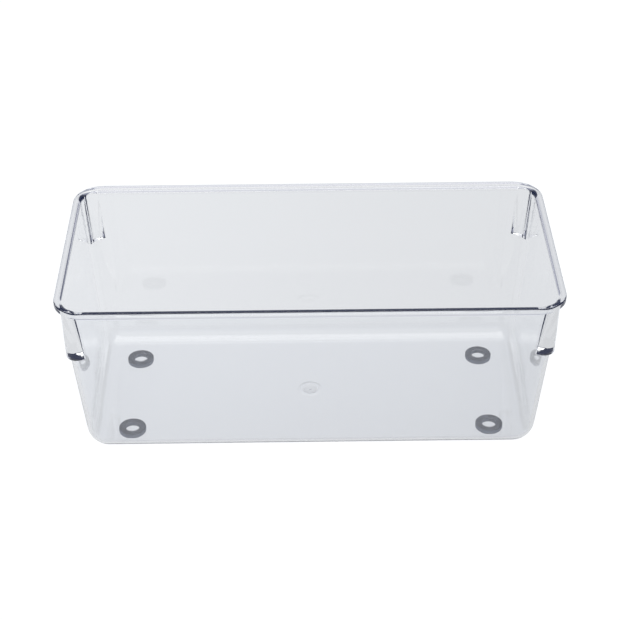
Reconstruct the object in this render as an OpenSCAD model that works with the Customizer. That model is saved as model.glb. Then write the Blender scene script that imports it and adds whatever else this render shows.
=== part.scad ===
// Clear stacking drawer box: one moulded tub with a bead rim and four solid
// corner lugs, standing on four soft ring feet pushed over spigots under its floor.
// Millimetres. +Z is up, the front is at -Y, and the origin is on the surface that
// the feet stand on, under the middle of the box.

/* [Box] */
// Width over the rim
box_w = 300; // [240:1:360]
// Depth over the rim
box_d = 150; // [120:1:200]
// Height of the tub from the underside of its floor to the top of the rim
tub_h = 110.5; // [95:0.5:140]
// How far each wall leans in from the rim down to the floor
draft_inset = 10.1; // [6:0.1:12]
// Thickness of the walls
wall = 2.2; // [1.8:0.1:2.6]
// Thickness of the floor
floor_t = 2.4; // [2:0.1:3]
// Corner radius of the outer wall, just under the rim
corner_r_top = 15.8; // [14:0.1:20]
// Corner radius of the outer wall, at the floor
corner_r_floor = 13.2; // [13:0.1:14]
// Radius of the rounded edge between the walls and the floor
bottom_round = 12.9; // [8:0.1:12.9]

/* [Rim] */
// How far the bead stands out past the wall
rim_overhang = 2.7; // [2:0.1:4]
// Height of the bead
rim_h = 3.75; // [3:0.05:5]
// Radius of the bead's upper outer edge
rim_round = 1.4; // [0.8:0.1:1.6]
// Radius of the bead's upper inner edge
rim_inner_round = 2.9; // [1:0.1:3]
// Radius of the bead's lower outer edge
rim_lower_round = 0.9; // [0.4:0.1:1.2]

/* [Corner lugs] */
// Height of the lugs' undersides above the underside of the floor
lug_z = 74.6; // [65:0.1:80]
// Radius of a lug at its underside
lug_r = 6.5; // [5.5:0.1:7]
// Taper of a lug on the radius, per millimetre of height
lug_taper = 0.032; // [0.02:0.001:0.04]
// Distance of a lug's axis from the rim's outer edge along X
lug_in_x = 12.1; // [11.5:0.1:13]
// Distance of a lug's axis from the rim's outer edge along Y
lug_in_y = 10.7; // [10.4:0.1:11.2]

/* [Ring feet] */
// Distance of the feet from the middle along X
foot_x = 112; // [80:0.5:115]
// Distance of the feet from the middle along Y
foot_y = 37.5; // [25:0.5:42]
// Outer diameter of a foot
foot_od = 16.9; // [14:0.1:20]
// Diameter of a foot's hole
foot_id = 9; // [8:0.1:10]
// Thickness of a foot
foot_h = 3.2; // [2.5:0.1:4]
// Radius of a foot's edges
foot_round = 0.7; // [0.4:0.1:1]

/* [Spigots and gate] */
// Squeeze of a foot on its spigot, on the diameter
foot_grip = 0.1; // [0.05:0.05:0.2]
// Length of a spigot below the floor
spigot_h = 2.2; // [1.5:0.1:2.4]
// Diameter of the shallow recess round the moulding gate
gate_recess_d = 17; // [14:0.5:20]
// Depth of the recess round the gate
gate_recess_t = 0.7; // [0.4:0.1:0.9]
// Diameter of the gate's button
gate_d = 9; // [6:0.5:11]

/* [Hidden] */

// Heights in the part's own frame: the tub's floor sits on the feet.
floor_z = foot_h;
rim_z = floor_z + tub_h - rim_h;

// Steps of the curves that the lofts are made from.
corner_steps = 10;
round_steps = 8;
edge_steps = 4;

// Facets of the turned parts, and of the rounds on a foot's section.
turned_facets = 96;
foot_facets = 32;

// How far a cut runs past the surface that it opens.
clear = 1;

// The lugs and spigots end halfway through the bead and the floor, inside the solid.
lug_top = rim_z + rim_h / 2;
spigot_top = floor_z + floor_t / 2;

// The wall leans out as it rises.
wall_h = tub_h - rim_h;
lean = atan(draft_inset / wall_h);
wall_x = wall / cos(lean);

clear_plastic = [0.86, 0.89, 0.93, 0.45];
grey_rubber = [0.45, 0.47, 0.52];

// Everything below measures "inset", the distance in from the rim's outer edge.
rim_corner_r = corner_r_top + rim_overhang;
function wall_inset(h) = rim_overhang + draft_inset * (1 - h / wall_h);
function wall_corner(h) = corner_r_floor + (corner_r_top - corner_r_floor) * h / wall_h;

// One level of a loft: a rounded rectangle as [inset, height, corner radius].
function level(inset, h, r) = [inset, h, r];
function bead_level(inset, h) = level(inset, h, rim_corner_r - inset);

// Levels of the rounded edge that joins a wall to a floor: t is how far this
// surface lies inside the outer wall, base its height, r the radius of the edge.
function edge_levels(t, base, r) =
    let(centre_h = base + r, centre_in = wall_inset(centre_h) + t + r / cos(lean))
    [for (i = [0:round_steps])
        let(a = 90 - (90 - lean) * i / round_steps,
            inset = centre_in - r * cos(a),
            h = centre_h - r * sin(a))
        level(inset, h, wall_corner(h) - (inset - wall_inset(h)))];

// Points of one level, four corners joined by straight sides.
function ring(l) =
    let(r = l[2], x = box_w / 2 - l[0] - r, y = box_d / 2 - l[0] - r)
    [for (q = [0:3], i = [0:corner_steps])
        let(a = 90 * q + 90 * i / corner_steps)
        [(q == 0 || q == 3 ? x : -x) + r * cos(a), (q < 2 ? y : -y) + r * sin(a), floor_z + l[1]]];

// A closed solid through a list of levels, from the lowest to the last.
module loft(levels) {
    n = 4 * (corner_steps + 1);
    last = (len(levels) - 1) * n;
    sides = [for (k = [0:len(levels) - 2], i = [0:n - 1])
        let(a = k * n + i, b = k * n + (i + 1) % n)
        each [[a, a + n, b], [b, a + n, b + n]]];
    bottom = [for (i = [0:n - 1]) i];
    top = [for (i = [n - 1:-1:0]) last + i];
    polyhedron([for (l = levels) each ring(l)], concat([bottom], sides, [top]));
}

// Quarter-circle levels of the bead: centre of the round, its radius, and the
// angles that it runs between, measured from straight out.
function bead_round(inset, h, r, from, to) =
    [for (i = [0:edge_steps])
        let(a = from + (to - from) * i / edge_steps)
        bead_level(inset - r * cos(a), h + r * sin(a))];

// The outside of the tub, filled solid, with its bead.
module outer_form() {
    loft(concat(
        edge_levels(0, 0, bottom_round),
        [level(wall_inset(wall_h), wall_h, wall_corner(wall_h))],
        bead_round(rim_lower_round, wall_h + rim_lower_round, rim_lower_round, -90, 0),
        bead_round(rim_round, tub_h - rim_round, rim_round, 0, 90)
    ));
}

// The space inside the tub, flaring out where the bead's inner edge is rounded.
module cavity() {
    mouth_h = tub_h - rim_inner_round;
    mouth_in = wall_inset(wall_h) + wall_x;
    flare = [for (i = [0:edge_steps])
        let(a = 90 * i / edge_steps)
        bead_level(mouth_in - rim_inner_round * (1 - cos(a)), mouth_h + rim_inner_round * sin(a))];
    loft(concat(
        edge_levels(wall_x, floor_t, bottom_round - wall),
        flare,
        [bead_level(mouth_in - rim_inner_round, tub_h + clear)]
    ));
}

// Places its children at each of the four corners.
module at_corners(x, y) {
    for (sx = [-1, 1], sy = [-1, 1])
        translate([sx * x, sy * y, 0]) children();
}

// Posts that widen upwards into the bead; the cavity is cut out of them.
module lug_posts() {
    low = floor_z + lug_z;
    rise = lug_top - low;
    at_corners(box_w / 2 - lug_in_x, box_d / 2 - lug_in_y)
        translate([0, 0, low])
            cylinder(h = rise, r1 = lug_r, r2 = lug_r + lug_taper * rise, $fn = turned_facets);
}

// Recess under the floor, with the gate's button left standing in it.
module gate_recess() {
    rotate_extrude($fn = turned_facets)
        polygon([
            [gate_d / 2, floor_z - clear],
            [gate_recess_d / 2 + clear, floor_z - clear],
            [gate_recess_d / 2, floor_z],
            [gate_recess_d / 2 - gate_recess_t, floor_z + gate_recess_t],
            [gate_d / 2, floor_z + gate_recess_t]
        ]);
}

module spigots() {
    low = floor_z - spigot_h;
    at_corners(foot_x, foot_y)
        translate([0, 0, low])
            cylinder(h = spigot_top - low, d = foot_id + foot_grip, $fn = turned_facets);
}

module tub() {
    color(clear_plastic) {
        difference() {
            union() {
                outer_form();
                lug_posts();
            }
            cavity();
            gate_recess();
        }
        spigots();
    }
}

// A ring foot: a flat washer of soft rubber with rounded edges.
module foot(sx, sy) {
    ring_w = (foot_od - foot_id) / 2;
    color(grey_rubber)
        translate([sx * foot_x, sy * foot_y, 0])
            rotate_extrude($fn = turned_facets)
                translate([foot_id / 2, 0]) {
                    translate([foot_round, 0]) square([ring_w - 2 * foot_round, foot_h]);
                    translate([0, foot_round]) square([ring_w, foot_h - 2 * foot_round]);
                    for (u = [foot_round, ring_w - foot_round], v = [foot_round, foot_h - foot_round])
                        translate([u, v]) circle(r = foot_round, $fn = foot_facets);
                }
}

tub();
foot(-1, -1);  // foot_front_left
foot(1, -1);  // foot_front_right
foot(-1, 1);  // foot_back_left
foot(1, 1);  // foot_back_right
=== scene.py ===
"""Clear stacking drawer box: its moulded tub and ring feet, dressed round the packed solids."""

import math
from collections import namedtuple

import bpy
from bpy.props import FloatProperty, FloatVectorProperty, PointerProperty
from mathutils import Euler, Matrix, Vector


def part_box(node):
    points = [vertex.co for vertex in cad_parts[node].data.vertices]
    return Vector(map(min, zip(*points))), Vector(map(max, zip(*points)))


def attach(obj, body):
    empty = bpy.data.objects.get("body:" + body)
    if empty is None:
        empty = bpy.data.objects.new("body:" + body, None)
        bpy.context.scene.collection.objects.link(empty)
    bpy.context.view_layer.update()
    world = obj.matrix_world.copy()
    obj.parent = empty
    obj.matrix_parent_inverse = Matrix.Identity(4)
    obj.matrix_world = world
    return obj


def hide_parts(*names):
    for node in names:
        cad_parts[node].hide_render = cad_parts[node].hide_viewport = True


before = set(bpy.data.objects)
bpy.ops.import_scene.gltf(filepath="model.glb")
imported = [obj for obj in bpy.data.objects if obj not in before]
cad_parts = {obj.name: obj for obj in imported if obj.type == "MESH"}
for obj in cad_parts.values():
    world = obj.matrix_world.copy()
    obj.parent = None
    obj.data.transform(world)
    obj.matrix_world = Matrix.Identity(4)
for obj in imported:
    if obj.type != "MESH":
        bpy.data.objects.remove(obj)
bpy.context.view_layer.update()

bl_info = {
    "name": "Clear Drawer Box",
    "version": (1, 0, 0),
    "blender": (4, 5, 0),
    "location": "View3D > Sidebar > Drawer Box",
    "description": "Makes a clear moulded drawer box with a bead rim, corner lugs and ring feet",
    "category": "Object",
}

MM = 0.001
WELD = 0.002 * MM  # Points of a loft that lie closer than this become one.
SPIGOT_EASE = 0.1 * MM  # A spigot's radius is made smaller by this, to clear its ring.
BODY = "root"
FEET_NODES = ("foot_front_left", "foot_front_right", "foot_back_left", "foot_back_right")

tub_low, tub_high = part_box("tub")
foot_low, foot_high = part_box(FEET_NODES[0])
foot_centre = (foot_low + foot_high) / 2


def length(name, default, description):
    """A length property, in metres."""
    return FloatProperty(name=name, description=description, default=default, min=0.0, unit="LENGTH")


def colour(name, default, description):
    """A colour property."""
    return FloatVectorProperty(
        name=name, description=description, default=default, size=3, min=0.0, max=1.0, subtype="COLOR"
    )


def number(name, default, description):
    """A property without a unit."""
    return FloatProperty(name=name, description=description, default=default)


def brightness(name, default, description):
    """A brightness property, where 1 is white."""
    return FloatProperty(name=name, description=description, default=default, min=0.0)


# ---------------------------------------------------------------- sizes and looks


class DrawerBoxTub(bpy.types.PropertyGroup):
    """Sizes of the moulded tub"""

    width: length("Width", tub_high.x - tub_low.x, "Over the rim, along X")
    depth: length("Depth", tub_high.y - tub_low.y, "Over the rim, along Y")
    rim_top: length("Rim Top", tub_high.z, "Height of the rim's top above the surface it stands on")
    underside: length("Underside", foot_high.z, "Height of the floor's underside")
    wall: length("Wall", 2.2 * MM, "Thickness of the walls")
    floor: length("Floor", 2.4 * MM, "Thickness of the floor")
    draft_inset: length("Draft Inset", 10.1 * MM, "How far the walls lean in from rim to floor")
    corner_top: length("Corner at Rim", 15.8 * MM, "Corner radius of the outer wall under the rim")
    corner_floor: length("Corner at Floor", 13.2 * MM, "Corner radius of the outer wall at the floor")
    bottom_round: length("Bottom Edge", 12.9 * MM, "Radius of the outer edge between walls and floor")
    inner_round: length("Inner Bottom Edge", 9.2 * MM, "Radius of the edge round the floor inside")
    rim_overhang: length("Rim Overhang", 2.7 * MM, "How far the bead stands out past the wall")
    rim_height: length("Rim Height", 3.75 * MM, "Height of the bead")
    rim_round: length("Rim Round", 1.0 * MM, "Radius of the bead's upper outer edge")
    rim_inner_round: length("Rim Inner Round", 3.1 * MM, "Radius of the bead's upper inner edge")
    rim_lower_round: length("Rim Lower Round", 0.4 * MM, "Radius of the bead's lower outer edge")
    rim_fillet: length("Rim Fillet", 0.3 * MM, "Radius between the bead's underside and the wall")


class DrawerBoxLugs(bpy.types.PropertyGroup):
    """Sizes of the solid corner lugs, the gate mark and the spigots"""

    height: length("Lug Height", 74.6 * MM, "Height of the lugs above the floor's underside")
    radius: length("Lug Radius", 6.5 * MM, "Radius of a lug at its underside")
    taper: number("Lug Taper", 0.032, "Growth of the radius with height")
    inset_x: length("Lug Inset X", 12.1 * MM, "From the rim's outer edge to a lug's axis, along X")
    inset_y: length("Lug Inset Y", 10.7 * MM, "From the rim's outer edge to a lug's axis, along Y")
    blend: length("Crease", 0.5 * MM, "Width of the soft crease where a lug meets the wall")
    edge: length("Lug Edge", 0.3 * MM, "Radius of a lug's lower edge")
    gate_recess: length("Gate Recess", 17.0 * MM, "Diameter of the shallow recess round the gate")
    gate_depth: length("Gate Depth", 0.3 * MM, "Depth of that recess")
    gate_slope: length("Gate Slope", 3.0 * MM, "Width of the slope at the recess's edge")
    gate_button: length("Gate Button", 9.0 * MM, "Diameter of the gate's button")
    spigot: length("Spigot", 9.1 * MM, "Diameter of the spigots under the floor")
    spigot_drop: length("Spigot Drop", 0.15 * MM, "Length of a spigot below the floor")


class DrawerBoxFeet(bpy.types.PropertyGroup):
    """Sizes of the ring feet"""

    centre_x: length("Foot X", abs(foot_centre.x), "From the middle to a foot, along X")
    centre_y: length("Foot Y", abs(foot_centre.y), "From the middle to a foot, along Y")
    diameter: length("Diameter", foot_high.x - foot_low.x, "Outer diameter of a ring")
    hole: length("Hole", 9.0 * MM, "Diameter of the hole")
    thickness: length("Thickness", foot_high.z - foot_low.z, "Thickness of a ring")
    round: length("Edge", 0.5 * MM, "Radius of the ring's edges")
    gap: length("Gap", 0.1 * MM, "Air between a ring and the floor, so that its top shows")


class DrawerBoxLooks(bpy.types.PropertyGroup):
    """Colours and finishes"""

    plastic: colour("Plastic", (0.975, 0.985, 1.0), "Tint of the clear plastic")
    # Depth is the colour of a painted dark glow that the plastic gives off where light is trapped in
    # it.
    depth: colour("Depth", (0.004, 0.006, 0.017), "Colour of light that is trapped in the plastic")
    rubber: colour("Rubber", (0.185, 0.21, 0.272), "Colour of the ring feet")
    wave_scale: number("Wave Scale", 45.0, "How close the flow waves lie")
    wave_height: length("Wave Height", 0.04 * MM, "Height of the flow waves")
    gate_matt: length("Matt Gate", 4.2 * MM, "Radius of the matt patch on the gate's button")
    gate_roughness: number("Gate Roughness", 0.3, "Roughness of that patch")
    ior: number("IOR", 1.57, "Refraction of the clear plastic")


class DrawerBoxStage(bpy.types.PropertyGroup):
    """Camera and studio"""

    camera_place: FloatVectorProperty(
        name="Camera Place",
        description="Where the camera stands",
        default=(-0.006257, -0.893491, 0.664265),
        subtype="TRANSLATION",
        unit="LENGTH",
    )
    camera_turn: FloatVectorProperty(
        name="Camera Turn",
        description="How the camera is turned",
        default=(math.radians(56.1484), math.radians(0.341), math.radians(-0.6474)),
        subtype="EULER",
        unit="ROTATION",
    )
    lens: FloatProperty(
        name="Lens", description="Focal length on a 36 mm sensor", default=99.529, unit="CAMERA"
    )
    soft_box: brightness("Soft Box", 1.9, "Brightness of the soft box overhead")
    rear_left: brightness("Rear Left", 0.25, "Brightness of the dark panel behind, on the left")
    rear_right: brightness("Rear Right", 0.5, "Brightness of the dark panel behind, on the right")
    front_high: brightness("Front High", 0.9, "Brightness high up on the camera's side")
    front_low: brightness("Front Low", 0.2, "Brightness low down on the camera's side")
    behind: brightness("Behind", 0.72, "Brightness behind the object")
    sides: brightness("Sides", 0.4, "Brightness high up to the left and right")
    sides_low: brightness("Sides Low", 0.05, "Brightness low down to the left and right")
    light: brightness("Light", 0.9, "Brightness of the studio as the light on the object")
    glow: brightness("Floor Glow", 0.8, "Brightness of the floor seen through the plastic")
    far_glow: brightness("Far Floor Glow", 0.5, "Brightness of the floor further away")


GROUPS = {
    "box_tub": DrawerBoxTub,
    "box_lugs": DrawerBoxLugs,
    "box_feet": DrawerBoxFeet,
    "box_looks": DrawerBoxLooks,
    "box_stage": DrawerBoxStage,
}

# ---------------------------------------------------------------- node trees


class Field:
    """A number in a node tree; sums with it add Math nodes."""

    def __init__(self, tree, socket):
        self.tree = tree
        self.socket = socket

    def of(self, operation, *others):
        """The result of a Math node on this field and the others."""
        made = self.tree.nodes.new("ShaderNodeMath")
        made.operation = operation
        for socket, value in zip(made.inputs, (self, *others)):
            feed(self.tree, socket, value)
        return Field(self.tree, made.outputs[0])

    def rise(self, start, end):
        """Goes smoothly from 0 to 1 while the field goes from start to end."""
        made = add_node(
            self.tree,
            "ShaderNodeMapRange",
            {"interpolation_type": "SMOOTHSTEP"},
            Value=self,
            From_Min=start,
            From_Max=end,
        )
        return Field(self.tree, made.outputs["Result"])

    def span(self, low, high):
        """Low where the field is 0, and high where it is 1."""
        return self * (high - low) + low

    def toward(self, value, mask):
        """The field itself where the mask is 0, and the value where it is 1."""
        return self + (self * -1.0 + value) * mask

    def __add__(self, other):
        return self.of("ADD", other)

    def __sub__(self, other):
        return self.of("SUBTRACT", other)

    def __mul__(self, other):
        return self.of("MULTIPLY", other)

    def __truediv__(self, other):
        return self.of("DIVIDE", other)


def feed(tree, socket, value):
    """Links a field or a socket to a socket, or sets the socket's own value."""
    if isinstance(value, Field):
        value = value.socket
    if isinstance(value, bpy.types.NodeSocket):
        tree.links.new(value, socket)
    else:
        socket.default_value = value


def add_node(tree, kind, settings=None, **inputs):
    """Adds a node, sets its properties and feeds its inputs by name (spaces as underscores)."""
    made = tree.nodes.new(kind)
    for key, value in (settings or {}).items():
        setattr(made, key, value)
    for key, value in inputs.items():
        feed(tree, made.inputs[key.replace("_", " ")], value)
    return made


def parts(tree, vector):
    """The X, Y and Z of a vector, as fields."""
    axes = add_node(tree, "ShaderNodeSeparateXYZ", Vector=vector)
    return [Field(tree, axes.outputs[name]) for name in "XYZ"]


FLOAT = "NodeSocketFloat"
COUNT = "NodeSocketInt"
VECTOR = "NodeSocketVector"
SHAPE = "NodeSocketGeometry"
MATERIAL = "NodeSocketMaterial"


def new_tree(kind, name, inputs, outputs):
    """An empty node group with named inputs and outputs, as (tree, input fields, output node)."""
    tree = bpy.data.node_groups.new(name, kind)
    for label, (socket_type, default) in inputs.items():
        socket = tree.interface.new_socket(label, in_out="INPUT", socket_type=socket_type)
        if default is not None:
            socket.default_value = default
    for label, socket_type in outputs.items():
        tree.interface.new_socket(label, in_out="OUTPUT", socket_type=socket_type)
    entry = tree.nodes.new("NodeGroupInput")
    leave = tree.nodes.new("NodeGroupOutput")
    return tree, {label: Field(tree, entry.outputs[label]) for label in inputs}, leave


def shared_tree(name, maker, *arguments):
    """A node group by name, made on first use."""
    return bpy.data.node_groups.get(name) or maker(name, *arguments)


LEVEL_VALUES = ("half_x", "half_y", "corner", "height", "lug")
Level = namedtuple("Level", LEVEL_VALUES)


def loft_tree(name):
    """Lays a closed rounded rectangle at each level of a section and joins them into a mesh.

    Where a level has a lug radius, a circle round each lug axis pushes the outline out.
    """
    tree, given, leave = new_tree(
        "GeometryNodeTree",
        name,
        {
            "Levels": (SHAPE, None),
            "Corner Steps": (COUNT, 48),
            "Side Step": (FLOAT, 1.0 * MM),
            "Lug X": (FLOAT, 0.0),
            "Lug Y": (FLOAT, 0.0),
            "Lug Blend": (FLOAT, 0.5 * MM),
        },
        {"Mesh": SHAPE},
    )
    levels = add_node(tree, "GeometryNodeAttributeDomainSize", Geometry=given["Levels"])
    level_count = Field(tree, levels.outputs["Point Count"])
    per_corner = given["Corner Steps"] + 3
    grid = add_node(
        tree, "GeometryNodeMeshGrid", Vertices_X=per_corner * 4 + 1, Vertices_Y=level_count
    )
    index = Field(tree, add_node(tree, "GeometryNodeInputIndex").outputs[0])
    column = (index / level_count).of("FLOOR")
    level = index.of("MODULO", level_count)

    def level_value(name):
        named = add_node(tree, "GeometryNodeInputNamedAttribute", {"data_type": "FLOAT"}, Name=name)
        sample = add_node(
            tree,
            "GeometryNodeSampleIndex",
            {"data_type": "FLOAT", "domain": "POINT"},
            Geometry=given["Levels"],
            Value=named.outputs["Attribute"],
            Index=level,
        )
        return Field(tree, sample.outputs["Value"])

    half_x, half_y, corner, height, lug = (level_value(name) for name in LEVEL_VALUES)

    # Which corner a column belongs to, and how far round it the column lies.
    quarter = (column / per_corner).of("FLOOR").of("MODULO", 4.0)
    step = column.of("MODULO", per_corner) - 1.0
    share = (step / given["Corner Steps"]).of("MAXIMUM", 0.0).of("MINIMUM", 1.0)
    angle = (quarter + share) * (math.pi / 2)
    middle = (quarter + 0.5) * (math.pi / 2)
    side_x, side_y = middle.of("COSINE").of("SIGN"), middle.of("SINE").of("SIGN")
    out_x, out_y = angle.of("COSINE"), angle.of("SINE")

    # The first and last column of a corner lie a little way along the flat sides.
    flat_x, flat_y = half_x - corner, half_y - corner
    reach = given["Side Step"].of("MINIMUM", flat_x).of("MINIMUM", flat_y)
    past = step.of("GREATER_THAN", given["Corner Steps"] + 0.5)
    before = step.of("LESS_THAN", -0.5)
    shift = (past - before) * reach
    wall_x = side_x * flat_x + out_x * corner - out_y * shift
    wall_y = side_y * flat_y + out_y * corner + out_x * shift

    # Distance outwards from the wall to the far side of the lug's circle.
    from_x, from_y = wall_x - side_x * given["Lug X"], wall_y - side_y * given["Lug Y"]
    along = from_x * out_x + from_y * out_y
    square = along * along - (from_x * from_x + from_y * from_y) + lug * lug
    missed = square.of("LESS_THAN", 0.0)
    far = square.of("MAXIMUM", 0.0).of("SQRT") - along - missed
    push = far.of("SMOOTH_MAX", 0.0, given["Lug Blend"]) * lug.of("GREATER_THAN", 0.0)

    place = add_node(
        tree, "ShaderNodeCombineXYZ", X=wall_x + out_x * push, Y=wall_y + out_y * push, Z=height
    )
    shaped = add_node(
        tree, "GeometryNodeSetPosition", Geometry=grid.outputs["Mesh"], Position=place.outputs[0]
    )
    closed = add_node(
        tree, "GeometryNodeMergeByDistance", Geometry=shaped.outputs[0], Distance=WELD
    )
    feed(tree, leave.inputs["Mesh"], closed.outputs[0])
    return tree


def four_points(tree, x, y):
    """Four points round the middle, at plus and minus x and y."""
    return add_node(
        tree, "GeometryNodeMeshGrid", Size_X=x * 2, Size_Y=y * 2, Vertices_X=2, Vertices_Y=2
    ).outputs["Mesh"]


def finish_tree(tree, leave, shape, material, sharp):
    """Shades a shape smooth but for its sharp edges, and gives it its material."""
    smooth = add_node(tree, "GeometryNodeSetShadeSmooth", {"domain": "FACE"}, Geometry=shape)
    bend = add_node(tree, "GeometryNodeInputMeshEdgeAngle").outputs["Unsigned Angle"]
    crisp = add_node(
        tree,
        "GeometryNodeSetShadeSmooth",
        {"domain": "EDGE"},
        Geometry=smooth.outputs[0],
        Selection=Field(tree, bend).of("GREATER_THAN", sharp),
        Shade_Smooth=False,
    )
    real = add_node(tree, "GeometryNodeRealizeInstances", Geometry=crisp.outputs[0])
    dressed = add_node(
        tree, "GeometryNodeSetMaterial", Geometry=real.outputs[0], Material=material
    )
    feed(tree, leave.inputs[0], dressed.outputs[0])


def tub_tree(name, loft):
    """The tub: its lofted shell, joined with a spigot over each foot."""
    tree, given, leave = new_tree(
        "GeometryNodeTree",
        name,
        {
            "Section": (SHAPE, None),
            "Lug X": (FLOAT, 0.0),
            "Lug Y": (FLOAT, 0.0),
            "Lug Blend": (FLOAT, 0.0),
            "Spigot X": (FLOAT, 0.0),
            "Spigot Y": (FLOAT, 0.0),
            "Spigot Radius": (FLOAT, 0.0),
            "Spigot Low": (FLOAT, 0.0),
            "Spigot High": (FLOAT, 0.0),
            "Corner Steps": (COUNT, 60),
            "Material": (MATERIAL, None),
        },
        {"Geometry": SHAPE},
    )
    shell = add_node(tree, "GeometryNodeGroup", {"node_tree": loft}, Levels=given["Section"])
    for label in ("Lug X", "Lug Y", "Lug Blend", "Corner Steps"):
        feed(tree, shell.inputs[label], given[label])
    drop = given["Spigot High"] - given["Spigot Low"]
    rod = add_node(
        tree, "GeometryNodeMeshCylinder", Vertices=64, Radius=given["Spigot Radius"], Depth=drop
    )
    lift = add_node(tree, "ShaderNodeCombineXYZ", Z=given["Spigot Low"] + drop * 0.5)
    raised = add_node(
        tree, "GeometryNodeTransform", Geometry=rod.outputs["Mesh"], Translation=lift.outputs[0]
    )
    spigots = add_node(
        tree,
        "GeometryNodeInstanceOnPoints",
        Points=four_points(tree, given["Spigot X"], given["Spigot Y"]),
        Instance=raised.outputs[0],
    )
    solid = add_node(tree, "GeometryNodeRealizeInstances", Geometry=spigots.outputs[0])
    union = add_node(tree, "GeometryNodeMeshBoolean", {"operation": "UNION", "solver": "EXACT"})
    feed(tree, union.inputs["Mesh 2"], shell.outputs[0])
    feed(tree, union.inputs["Mesh 2"], solid.outputs[0])
    finish_tree(tree, leave, union.outputs["Mesh"], given["Material"], sharp=math.radians(38))
    return tree


def feet_tree(name, loft):
    """The ring feet: one lofted ring on each of four points."""
    tree, given, leave = new_tree(
        "GeometryNodeTree",
        name,
        {
            "Section": (SHAPE, None),
            "Foot X": (FLOAT, 0.0),
            "Foot Y": (FLOAT, 0.0),
            "Corner Steps": (COUNT, 24),
            "Material": (MATERIAL, None),
        },
        {"Geometry": SHAPE},
    )
    ring = add_node(
        tree,
        "GeometryNodeGroup",
        {"node_tree": loft},
        Levels=given["Section"],
        Corner_Steps=given["Corner Steps"],
    )
    rings = add_node(
        tree,
        "GeometryNodeInstanceOnPoints",
        Points=four_points(tree, given["Foot X"], given["Foot Y"]),
        Instance=ring.outputs[0],
    )
    finish_tree(tree, leave, rings.outputs[0], given["Material"], sharp=math.radians(60))
    return tree


def grow(name, levels, tree, **inputs):
    """Makes an object from a section's levels with a geometry tree, as a plain mesh."""
    section = bpy.data.meshes.new(name)
    points = [(level.half_x, 0.0, level.height) for level in levels]
    section.from_pydata(points, [(i, i + 1) for i in range(len(points) - 1)], [])
    for key in LEVEL_VALUES:
        values = section.attributes.new(key, "FLOAT", "POINT")
        values.data.foreach_set("value", [getattr(level, key) for level in levels])
    piece = bpy.data.objects.new(name, section)
    bpy.context.scene.collection.objects.link(piece)
    modifier = piece.modifiers.new(tree.name, "NODES")
    modifier.node_group = tree
    sockets = [item for item in tree.interface.items_tree if item.in_out == "INPUT"]
    labels = {socket.name: socket.identifier for socket in sockets}
    for key, value in inputs.items():
        modifier[labels[key.replace("_", " ")]] = value
    bpy.context.view_layer.update()
    evaluated = piece.evaluated_get(bpy.context.evaluated_depsgraph_get())
    shape = bpy.data.meshes.new_from_object(evaluated)
    piece.modifiers.clear()
    piece.data = shape
    shape.name = name
    bpy.data.meshes.remove(section)
    return piece


# ---------------------------------------------------------------- sections


def sweep(start, end, steps):
    """Evenly spaced angles from start to end, in radians, with both ends."""
    return [math.radians(start + (end - start) * i / steps) for i in range(steps + 1)]


def between(start, end, steps):
    """Evenly spaced values from start to end, with both ends."""
    return [start + (end - start) * i / steps for i in range(steps + 1)]


class TubSection:
    """Collects the tub's levels, from under the gate, up the outside, to the floor inside.

    Heights count from the floor's underside, and insets from the rim's outer edge.
    """

    def __init__(self, tub, lugs):
        self.tub = tub
        self.lugs = lugs
        self.levels = []
        self.rim_h = tub.rim_top - tub.underside
        self.wall_h = self.rim_h - tub.rim_height
        self.lean = math.atan(tub.draft_inset / self.wall_h)
        self.wall_x = tub.wall / math.cos(self.lean)

    def wall_inset(self, height):
        """How far in the outer wall lies at a height."""
        return self.tub.rim_overhang + self.tub.draft_inset * (1 - height / self.wall_h)

    def wall_corner(self, height):
        """The outer wall's corner radius at a height."""
        tub = self.tub
        return tub.corner_floor + (tub.corner_top - tub.corner_floor) * height / self.wall_h

    def lug_radius(self, height):
        """A lug's radius at a height."""
        return self.lugs.radius + self.lugs.taper * (height - self.lugs.height)

    def add(self, inset, height, corner, lug=0.0):
        """A level with the given inset from the rim's outer edge."""
        tub = self.tub
        self.levels.append(
            Level(tub.width / 2 - inset, tub.depth / 2 - inset, corner, tub.underside + height, lug)
        )

    def add_circle(self, radius, height):
        """A round level about the middle of the floor."""
        self.levels.append(Level(radius, radius, radius, self.tub.underside + height, 0.0))

    def add_slope(self, radius, height, end_radius, end_height, steps=8):
        """Circles that go from one radius and height to another along a soft S."""
        for k in between(0.0, 1.0, steps):
            ease = (1 - math.cos(math.pi * k)) / 2
            self.add_circle(radius + (end_radius - radius) * k, height + (end_height - height) * ease)

    def add_wall(self, height, lug=0.0):
        """A level on the outer wall."""
        self.add(self.wall_inset(height), height, self.wall_corner(height), lug)

    def add_bead(self, inset, height, lug=0.0):
        """A level on the bead, whose corners share one centre."""
        self.add(inset, height, self.tub.corner_top + self.tub.rim_overhang - inset, lug)

    def bottom_edge(self, inside, base, radius, steps):
        """Levels of the rounded edge between floor and wall, from the floor up."""
        centre_h = base + radius
        centre_in = self.wall_inset(centre_h) + inside + radius / math.cos(self.lean)
        found = []
        for a in sweep(90, math.degrees(self.lean), steps):
            inset, height = centre_in - radius * math.cos(a), centre_h - radius * math.sin(a)
            corner = self.wall_corner(height) - (inset - self.wall_inset(height))
            found.append((inset, height, corner))
        flat_in, flat_h, flat_corner = found[0]
        return [(flat_in + MM, flat_h, flat_corner - MM), *found]


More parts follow.
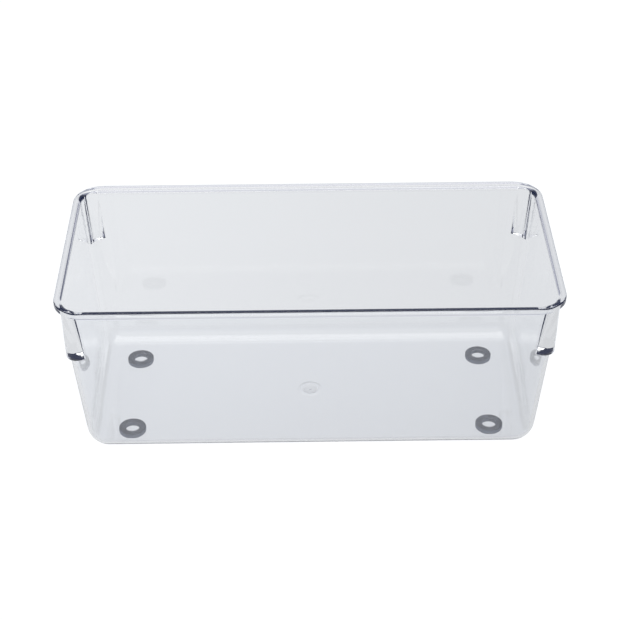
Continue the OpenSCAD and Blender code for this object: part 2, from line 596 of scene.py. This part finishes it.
def add_underside(s, lugs):
    """Under the floor: the gate's pip and button, then its recess, then the flat floor."""
    pip_in, pip_out, pip_h = 0.4 * MM, 1.6 * MM, 0.03 * MM
    button_in, button_out, button_h = 0.8 * MM, 1.2 * MM, 0.15 * MM
    button, recess, deep = lugs.gate_button / 2, lugs.gate_recess / 2, lugs.gate_depth
    s.add_circle(0.0, pip_h)
    s.add_slope(pip_in, pip_h, pip_out, button_h)
    s.add_slope(button - button_in, button_h, button + button_out, deep)
    s.add_slope(recess - lugs.gate_slope, deep, recess, 0.0)
    s.add_circle(recess + MM, 0.0)


def add_outside(s, tub, lugs):
    """The bottom edge and the wall, with the lugs' undersides, lower edges and sides."""
    edge = s.bottom_edge(inside=0.0, base=0.0, radius=tub.bottom_round, steps=18)
    for inset, height, corner in edge:
        s.add(inset, height, corner)
    for height in between(edge[-1][1] + MM, lugs.height - MM, steps=6):
        s.add_wall(height)

    # A lug's underside starts as a circle hidden in the wall, and rises a little outwards.
    hidden, ledge = 2.0 * MM, 0.25 * MM
    full = s.lug_radius(lugs.height)
    for k in between(0.0, 1.0, steps=10):
        s.add_wall(lugs.height + ledge * k, lug=hidden + (full - lugs.edge - hidden) * k)
    for a in sweep(-90, 0, steps=5)[1:]:
        height = lugs.height + ledge + lugs.edge * (1 + math.sin(a))
        s.add_wall(height, lug=full - lugs.edge + lugs.edge * math.cos(a))
    lug_low, lug_high = lugs.height + ledge + 2 * lugs.edge, s.wall_h - tub.rim_fillet
    for height in between(lug_low, lug_high, steps=14):
        s.add_wall(height, lug=s.lug_radius(height))


def add_rim(s, tub, mouth):
    """The bead: its underside, outer face, rounded top and rounded inner edge."""
    low, high, inner, fillet = tub.rim_lower_round, tub.rim_round, tub.rim_inner_round, tub.rim_fillet
    lug_top = s.lug_radius(s.wall_h)
    for a in sweep(0, 90, steps=5)[1:]:
        inset = tub.rim_overhang - fillet * (1 - math.cos(a))
        s.add_bead(inset, s.wall_h - fillet * (1 - math.sin(a)), lug_top)
    flat = 0.2 * MM
    s.add_bead(low + flat, s.wall_h, lug_top)
    for a in sweep(-90, 0, steps=6):
        s.add_bead(low * (1 - math.cos(a)), s.wall_h + low * (1 + math.sin(a)))
    for a in sweep(0, 90, steps=10):
        s.add_bead(high * (1 - math.cos(a)), s.rim_h - high * (1 - math.sin(a)))
    for a in sweep(90, 0, steps=12):
        s.add_bead(mouth - inner * (1 - math.cos(a)), s.rim_h - inner * (1 - math.sin(a)))


def add_inside(s, tub, mouth):
    """Down the inner wall, round onto the floor, and over the low swelling above the gate."""
    low_edge = s.bottom_edge(inside=s.wall_x, base=tub.floor, radius=tub.inner_round, steps=16)
    low_in, low_h, low_corner = low_edge[-1]
    mouth_h = s.rim_h - tub.rim_inner_round
    mouth_corner = tub.corner_top + tub.rim_overhang - mouth
    for height in between(mouth_h - 0.5 * MM, low_h + MM, steps=12):
        k = (height - low_h) / (mouth_h - low_h)
        s.add(low_in + (mouth - low_in) * k, height, low_corner + (mouth_corner - low_corner) * k)
    for inset, height, corner in reversed(low_edge):
        s.add(inset, height, corner)

    swell_r, swell_h = 7.5 * MM, 0.3 * MM
    s.add_circle(swell_r + 2 * MM, tub.floor)
    for k in between(1.0, 0.0, steps=10):
        s.add_circle(swell_r * k, tub.floor + swell_h * (math.cos(math.pi * k) + 1) / 2)


def tub_levels(tub, lugs):
    """All levels of the tub's section."""
    s = TubSection(tub, lugs)
    mouth = s.wall_inset(s.wall_h) + s.wall_x
    add_underside(s, lugs)
    add_outside(s, tub, lugs)
    add_rim(s, tub, mouth)
    add_inside(s, tub, mouth)
    return s.levels


def foot_levels(feet):
    """The closed section of a ring foot."""
    r, top = feet.round, feet.thickness - feet.gap
    outer, inner = feet.diameter / 2 - r, feet.hole / 2 + r
    corners = ((outer, r, -90), (outer, top - r, 0), (inner, top - r, 90), (inner, r, 180))
    levels = []
    for x, z, start in corners:
        for a in sweep(start, start + 90, steps=8):
            radius = x + r * math.cos(a)
            levels.append(Level(radius, radius, radius, z + r * math.sin(a), 0.0))
    return [*levels, levels[0]]


# ---------------------------------------------------------------- materials

WHITE = (1.0, 1.0, 1.0, 1.0)
BLACK = (0.0, 0.0, 0.0, 1.0)


def new_material(name):
    """A fresh node material, as (material, its tree, its Principled BSDF)."""
    material = bpy.data.materials.new(name)
    material.use_nodes = True
    tree = material.node_tree
    return material, tree, next(n for n in tree.nodes if n.type == "BSDF_PRINCIPLED")


def relief_tree(name):
    """A relief of stretched noise, as a Normal: the plastic's waves and the rubber's grain."""
    tree, given, leave = new_tree(
        "ShaderNodeTree",
        name,
        {
            "Place": (VECTOR, None),
            "Stretch": (VECTOR, (1.0, 1.0, 1.0)),
            "Scale": (FLOAT, 100.0),
            "Detail": (FLOAT, 2.0),
            "Strength": (FLOAT, 1.0),
            "Height": (FLOAT, 0.05 * MM),
        },
        {"Normal": VECTOR},
    )
    drawn = add_node(tree, "ShaderNodeVectorMath", {"operation": "MULTIPLY"})
    for socket, label in zip(drawn.inputs, ("Place", "Stretch")):
        feed(tree, socket, given[label])
    noise = add_node(
        tree,
        "ShaderNodeTexNoise",
        Vector=drawn.outputs[0],
        Scale=given["Scale"],
        Detail=given["Detail"],
    )
    bump = add_node(
        tree,
        "ShaderNodeBump",
        Height=noise.outputs["Fac"],
        Strength=given["Strength"],
        Distance=given["Height"],
    )
    feed(tree, leave.inputs["Normal"], bump.outputs[0])
    return tree


def add_relief(tree, place, **values):
    """Puts the shared relief in a material with its own values, and gives its Normal."""
    relief = shared_tree("Fine Relief", relief_tree)
    added = add_node(tree, "ShaderNodeGroup", {"node_tree": relief}, Place=place, **values)
    return added.outputs["Normal"]


def clear_plastic(looks):
    """Polished clear plastic with the faint flow waves of its moulding, and a painted dark glow where
    light is trapped in it.
    """
    material, tree, shader = new_material("Clear plastic")
    shader.inputs["Base Color"].default_value = (*looks.plastic, 1.0)
    shader.inputs["Transmission Weight"].default_value = 1.0
    shader.inputs["IOR"].default_value = looks.ior
    place = add_node(tree, "ShaderNodeTexCoord").outputs["Object"]
    waves = add_relief(
        tree,
        place,
        Stretch=(1.0, 1.0, 0.3),
        Scale=looks.wave_scale,
        Detail=2.0,
        Strength=1.0,
        Height=looks.wave_height,
    )
    feed(tree, shader.inputs["Normal"], waves)

    # The gate's button is a little matt, on the underside of the floor alone.
    inside_floor = (5.0 * MM, 4.5 * MM)
    x, y, z = parts(tree, place)
    radius = (x * x + y * y).of("SQRT")
    matt = radius.rise(looks.gate_matt + MM, looks.gate_matt) * z.rise(*inside_floor)
    feed(tree, shader.inputs["Roughness"], matt * looks.gate_roughness)

    # A painted glow: where a ray has turned back inside the plastic several times, the plastic gives
    # off the dark depth colour as light.
    clear_turns = 2.5
    turns = Field(tree, add_node(tree, "ShaderNodeLightPath").outputs["Glossy Depth"])
    painted_glow_mask = turns.of("GREATER_THAN", clear_turns)
    depth = add_node(tree, "ShaderNodeVectorMath", {"operation": "SCALE"}, Scale=painted_glow_mask)
    depth.inputs[0].default_value = looks.depth
    feed(tree, shader.inputs["Emission Color"], depth.outputs[0])
    shader.inputs["Emission Strength"].default_value = 1.0
    return material


def foot_rubber(looks):
    """Soft grey rubber with a fine matt skin, its top face against the floor darker with painted
    shade.
    """
    material, tree, shader = new_material("Foot rubber")
    shader.inputs["Specular IOR Level"].default_value = 0.3
    place = add_node(tree, "ShaderNodeTexCoord").outputs["Object"]
    grain = add_relief(tree, place, Scale=900.0, Detail=4.0, Strength=0.3, Height=0.05 * MM)
    feed(tree, shader.inputs["Normal"], grain)

    # The skin is cloudy, and its top face shows less of the rubber's colour, as painted shade.
    clouds = add_node(tree, "ShaderNodeTexNoise", Vector=place, Scale=160.0, Detail=3.0)
    cloud = Field(tree, clouds.outputs["Fac"])
    height = parts(tree, place)[2]
    shaded_top_from, shaded_top_to, shaded_top_loss = 2.6 * MM, 3.0 * MM, 0.53
    tone = cloud.span(0.85, 1.15) - height.rise(shaded_top_from, shaded_top_to) * shaded_top_loss
    shade = add_node(
        tree, "ShaderNodeMixRGB", Fac=tone, Color1=BLACK, Color2=(*looks.rubber, 1.0)
    )
    feed(tree, shader.inputs["Base Color"], shade.outputs[0])
    feed(tree, shader.inputs["Roughness"], cloud.span(0.5, 0.7))
    return material


# ---------------------------------------------------------------- studio

# The studio's panels and gradients, as parts of the direction looked in: each pair is where
# a soft edge or a gradient begins and where it is full.
FRONT_RISE = (0.15, 0.75)
BACK_WALL = {"back": [(-0.3, 0.0)]}
FLANK_RISE = (0.2, 0.4)
FLANKS = {"side": [(0.42, 0.55)]}
REAR_RISE = (-0.05, 0.05)
REAR_PANELS = {
    "side": [(0.07, 0.16), (0.4, 0.32)],
    "back": [(0.6, 0.7)],
    "up": [(0.28, 0.38), (0.64, 0.56)],
}
SOFT_BOX = {
    "back": [(-0.45, -0.36), (0.66, 0.26)],
    "side": [(0.75, 0.55)],
    "up": [(0.3, 0.5)],
}
DARK_HUE = (0.62, 0.68, 1.0, 1.0)

FLOOR_HALF = 4.0
FLOOR_GREY = (0.9, 0.9, 0.9, 1.0)
FLOOR_HUE = (0.97, 0.982, 1.0, 1.0)
FLOOR_WHITE = 1.09  # Strength at which the floor is pure white to the camera, shadow apart.
GLOW_SHARE = 0.93  # The rest of the floor is lit, and takes the object's shadow.

# A painted pool of light on the floor where it is seen through the plastic: the glow starts lower by
# its loss, gains towards the back and the left, and goes to its far brightness away from the object.
# The pairs are places, in metres.
GLOW_LOSS, GLOW_BACK, GLOW_LEFT = 0.09, 0.08, 0.07
BACK_RISE, LEFT_RISE, FAR_RISE = (-0.1, 0.1), (0.2, -0.2), (0.6, 1.8)


def seen_directly(tree):
    """Two masks: rays from the camera, by gloss or through glass, and rays from the camera."""
    path = add_node(tree, "ShaderNodeLightPath")
    camera = Field(tree, path.outputs["Is Camera Ray"])
    direct = camera
    for name in ("Is Glossy Ray", "Is Transmission Ray"):
        direct = direct.of("MAXIMUM", Field(tree, path.outputs[name]))
    return direct, camera


def mix_shaders(tree, share, first, second):
    """The first shader where the share is 0, and the second where it is 1."""
    mix = add_node(tree, "ShaderNodeMixShader")
    for socket, value in zip(mix.inputs, (share, first.outputs[0], second.outputs[0])):
        feed(tree, socket, value)
    return mix


def studio_world(stage):
    """A soft box overhead in a pale studio with darker panels, most of all low down in front."""
    world = bpy.data.worlds.new("Studio")
    world.use_nodes = True
    tree = world.node_tree
    tree.nodes.clear()
    across, back, up = parts(tree, add_node(tree, "ShaderNodeTexCoord").outputs["Generated"])
    ways = {"side": across.of("ABSOLUTE"), "back": back, "up": up}

    def inside(panel):
        """1 within a panel and 0 outside it, with soft edges."""
        masks = [ways[way].rise(*edge) for way, edges in panel.items() for edge in edges]
        mask = masks[0]
        for other in masks[1:]:
            mask = mask * other
        return mask

    front = up.rise(*FRONT_RISE).span(stage.front_low, stage.front_high)
    flanks = up.rise(*FLANK_RISE).span(stage.sides_low, stage.sides)
    rear = across.rise(*REAR_RISE).span(stage.rear_left, stage.rear_right)
    bright = front.toward(stage.behind, inside(BACK_WALL))
    bright = bright.toward(flanks, inside(FLANKS))
    bright = bright.toward(rear, inside(REAR_PANELS))
    bright = bright.toward(stage.soft_box, inside(SOFT_BOX))
    hue = add_node(tree, "ShaderNodeMixRGB", Fac=bright, Color1=DARK_HUE, Color2=WHITE)

    panels = add_node(tree, "ShaderNodeBackground", Color=hue.outputs[0], Strength=bright)
    light = add_node(tree, "ShaderNodeBackground", Color=WHITE, Strength=stage.light)
    backdrop = add_node(tree, "ShaderNodeBackground", Color=WHITE)
    direct, camera = seen_directly(tree)
    lit = mix_shaders(tree, direct, light, panels)
    seen = mix_shaders(tree, camera, lit, backdrop)
    leave = add_node(tree, "ShaderNodeOutputWorld")
    feed(tree, leave.inputs["Surface"], seen.outputs[0])
    bpy.context.scene.world = world


def floor_material(stage):
    """A pale floor that renders white and keeps part of the object's shadow, with a painted pool of
    light where it is seen through the plastic.
    """
    material, tree, shader = new_material("Studio floor")
    shader.inputs["Base Color"].default_value = FLOOR_GREY
    shader.inputs["Roughness"].default_value = 1.0
    shader.inputs["Specular IOR Level"].default_value = 0.0
    direct, camera = seen_directly(tree)
    place = add_node(tree, "ShaderNodeTexCoord").outputs["Object"]
    reach = add_node(tree, "ShaderNodeVectorMath", {"operation": "LENGTH"}, Vector=place)
    away = Field(tree, reach.outputs["Value"])
    side, back = parts(tree, place)[:2]
    # Painted light: the floor glows brighter near the object and towards the back and the left.
    gained = back.rise(*BACK_RISE) * GLOW_BACK + side.rise(*LEFT_RISE) * GLOW_LEFT
    near = gained + (stage.glow - GLOW_LOSS)
    glowing = near.toward(stage.far_glow, away.rise(*FAR_RISE))
    strength = glowing.toward(FLOOR_WHITE, camera)
    glow = add_node(tree, "ShaderNodeEmission", Color=FLOOR_HUE, Strength=strength)
    mix = mix_shaders(tree, direct * GLOW_SHARE, shader, glow)
    leave = next(n for n in tree.nodes if n.type == "OUTPUT_MATERIAL")
    feed(tree, leave.inputs["Surface"], mix.outputs[0])
    return material


# ---------------------------------------------------------------- operators


class DRAWERBOX_OT_tub(bpy.types.Operator):
    """Make the clear moulded tub"""

    bl_idname = "drawer_box.tub"
    bl_label = "Moulded Tub"

    def execute(self, context):
        scene = context.scene
        tub, lugs, feet = scene.box_tub, scene.box_lugs, scene.box_feet
        loft = shared_tree("Loft Levels", loft_tree)
        piece = grow(
            "moulded_tub",
            tub_levels(tub, lugs),
            shared_tree("Moulded Tub", tub_tree, loft),
            Lug_X=tub.width / 2 - lugs.inset_x,
            Lug_Y=tub.depth / 2 - lugs.inset_y,
            Lug_Blend=lugs.blend,
            Spigot_X=feet.centre_x,
            Spigot_Y=feet.centre_y,
            Spigot_Radius=lugs.spigot / 2 - SPIGOT_EASE,
            Spigot_Low=tub.underside - lugs.spigot_drop,
            Spigot_High=tub.underside + tub.floor / 2,
            Material=clear_plastic(scene.box_looks),
        )
        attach(piece, BODY)
        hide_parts("tub")
        return {"FINISHED"}


class DRAWERBOX_OT_feet(bpy.types.Operator):
    """Make the four ring feet"""

    bl_idname = "drawer_box.feet"
    bl_label = "Ring Feet"

    def execute(self, context):
        scene = context.scene
        feet = scene.box_feet
        loft = shared_tree("Loft Levels", loft_tree)
        piece = grow(
            "ring_feet",
            foot_levels(feet),
            shared_tree("Ring Feet", feet_tree, loft),
            Foot_X=feet.centre_x,
            Foot_Y=feet.centre_y,
            Material=foot_rubber(scene.box_looks),
        )
        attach(piece, BODY)
        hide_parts(*FEET_NODES)
        return {"FINISHED"}


class DRAWERBOX_OT_stage(bpy.types.Operator):
    """Make the camera, the floor and the light"""

    bl_idname = "drawer_box.stage"
    bl_label = "Camera and Studio"

    def execute(self, context):
        scene = context.scene
        stage = scene.box_stage
        lens = bpy.data.cameras.new("Camera")
        lens.lens = stage.lens
        lens.sensor_width = 36.0
        camera = bpy.data.objects.new("Camera", lens)
        camera.location = stage.camera_place
        camera.rotation_euler = Euler(stage.camera_turn)
        scene.collection.objects.link(camera)
        scene.camera = camera

        mesh = bpy.data.meshes.new("studio_floor")
        signs = ((-1, -1), (1, -1), (1, 1), (-1, 1))
        corners = [(x * FLOOR_HALF, y * FLOOR_HALF, 0) for x, y in signs]
        mesh.from_pydata(corners, [], [(0, 1, 2, 3)])
        mesh.materials.append(floor_material(stage))
        floor = bpy.data.objects.new("studio_floor", mesh)
        scene.collection.objects.link(floor)

        studio_world(stage)
        scene.view_settings.view_transform = "Standard"
        return {"FINISHED"}


class DRAWERBOX_PT_panel(bpy.types.Panel):
    """Sizes, looks and buttons of the drawer box"""

    bl_idname = "DRAWERBOX_PT_panel"
    bl_label = "Drawer Box"
    bl_space_type = "VIEW_3D"
    bl_region_type = "UI"
    bl_category = "Drawer Box"

    def draw(self, context):
        for operator in OPERATORS:
            self.layout.operator(operator.bl_idname)
        for name, group in GROUPS.items():
            box = self.layout.box()
            box.label(text=group.__doc__)
            for key in group.__annotations__:
                box.prop(getattr(context.scene, name), key)


OPERATORS = (DRAWERBOX_OT_tub, DRAWERBOX_OT_feet, DRAWERBOX_OT_stage)
CLASSES = (*GROUPS.values(), *OPERATORS, DRAWERBOX_PT_panel)


def register():
    for cls in CLASSES:
        bpy.utils.register_class(cls)
    for name, group in GROUPS.items():
        setattr(bpy.types.Scene, name, PointerProperty(type=group))


def unregister():
    for name in GROUPS:
        delattr(bpy.types.Scene, name)
    for cls in reversed(CLASSES):
        bpy.utils.unregister_class(cls)


def main():
    register()
    bpy.ops.drawer_box.tub()
    bpy.ops.drawer_box.feet()
    bpy.ops.drawer_box.stage()


if __name__ == "__main__":
    main()
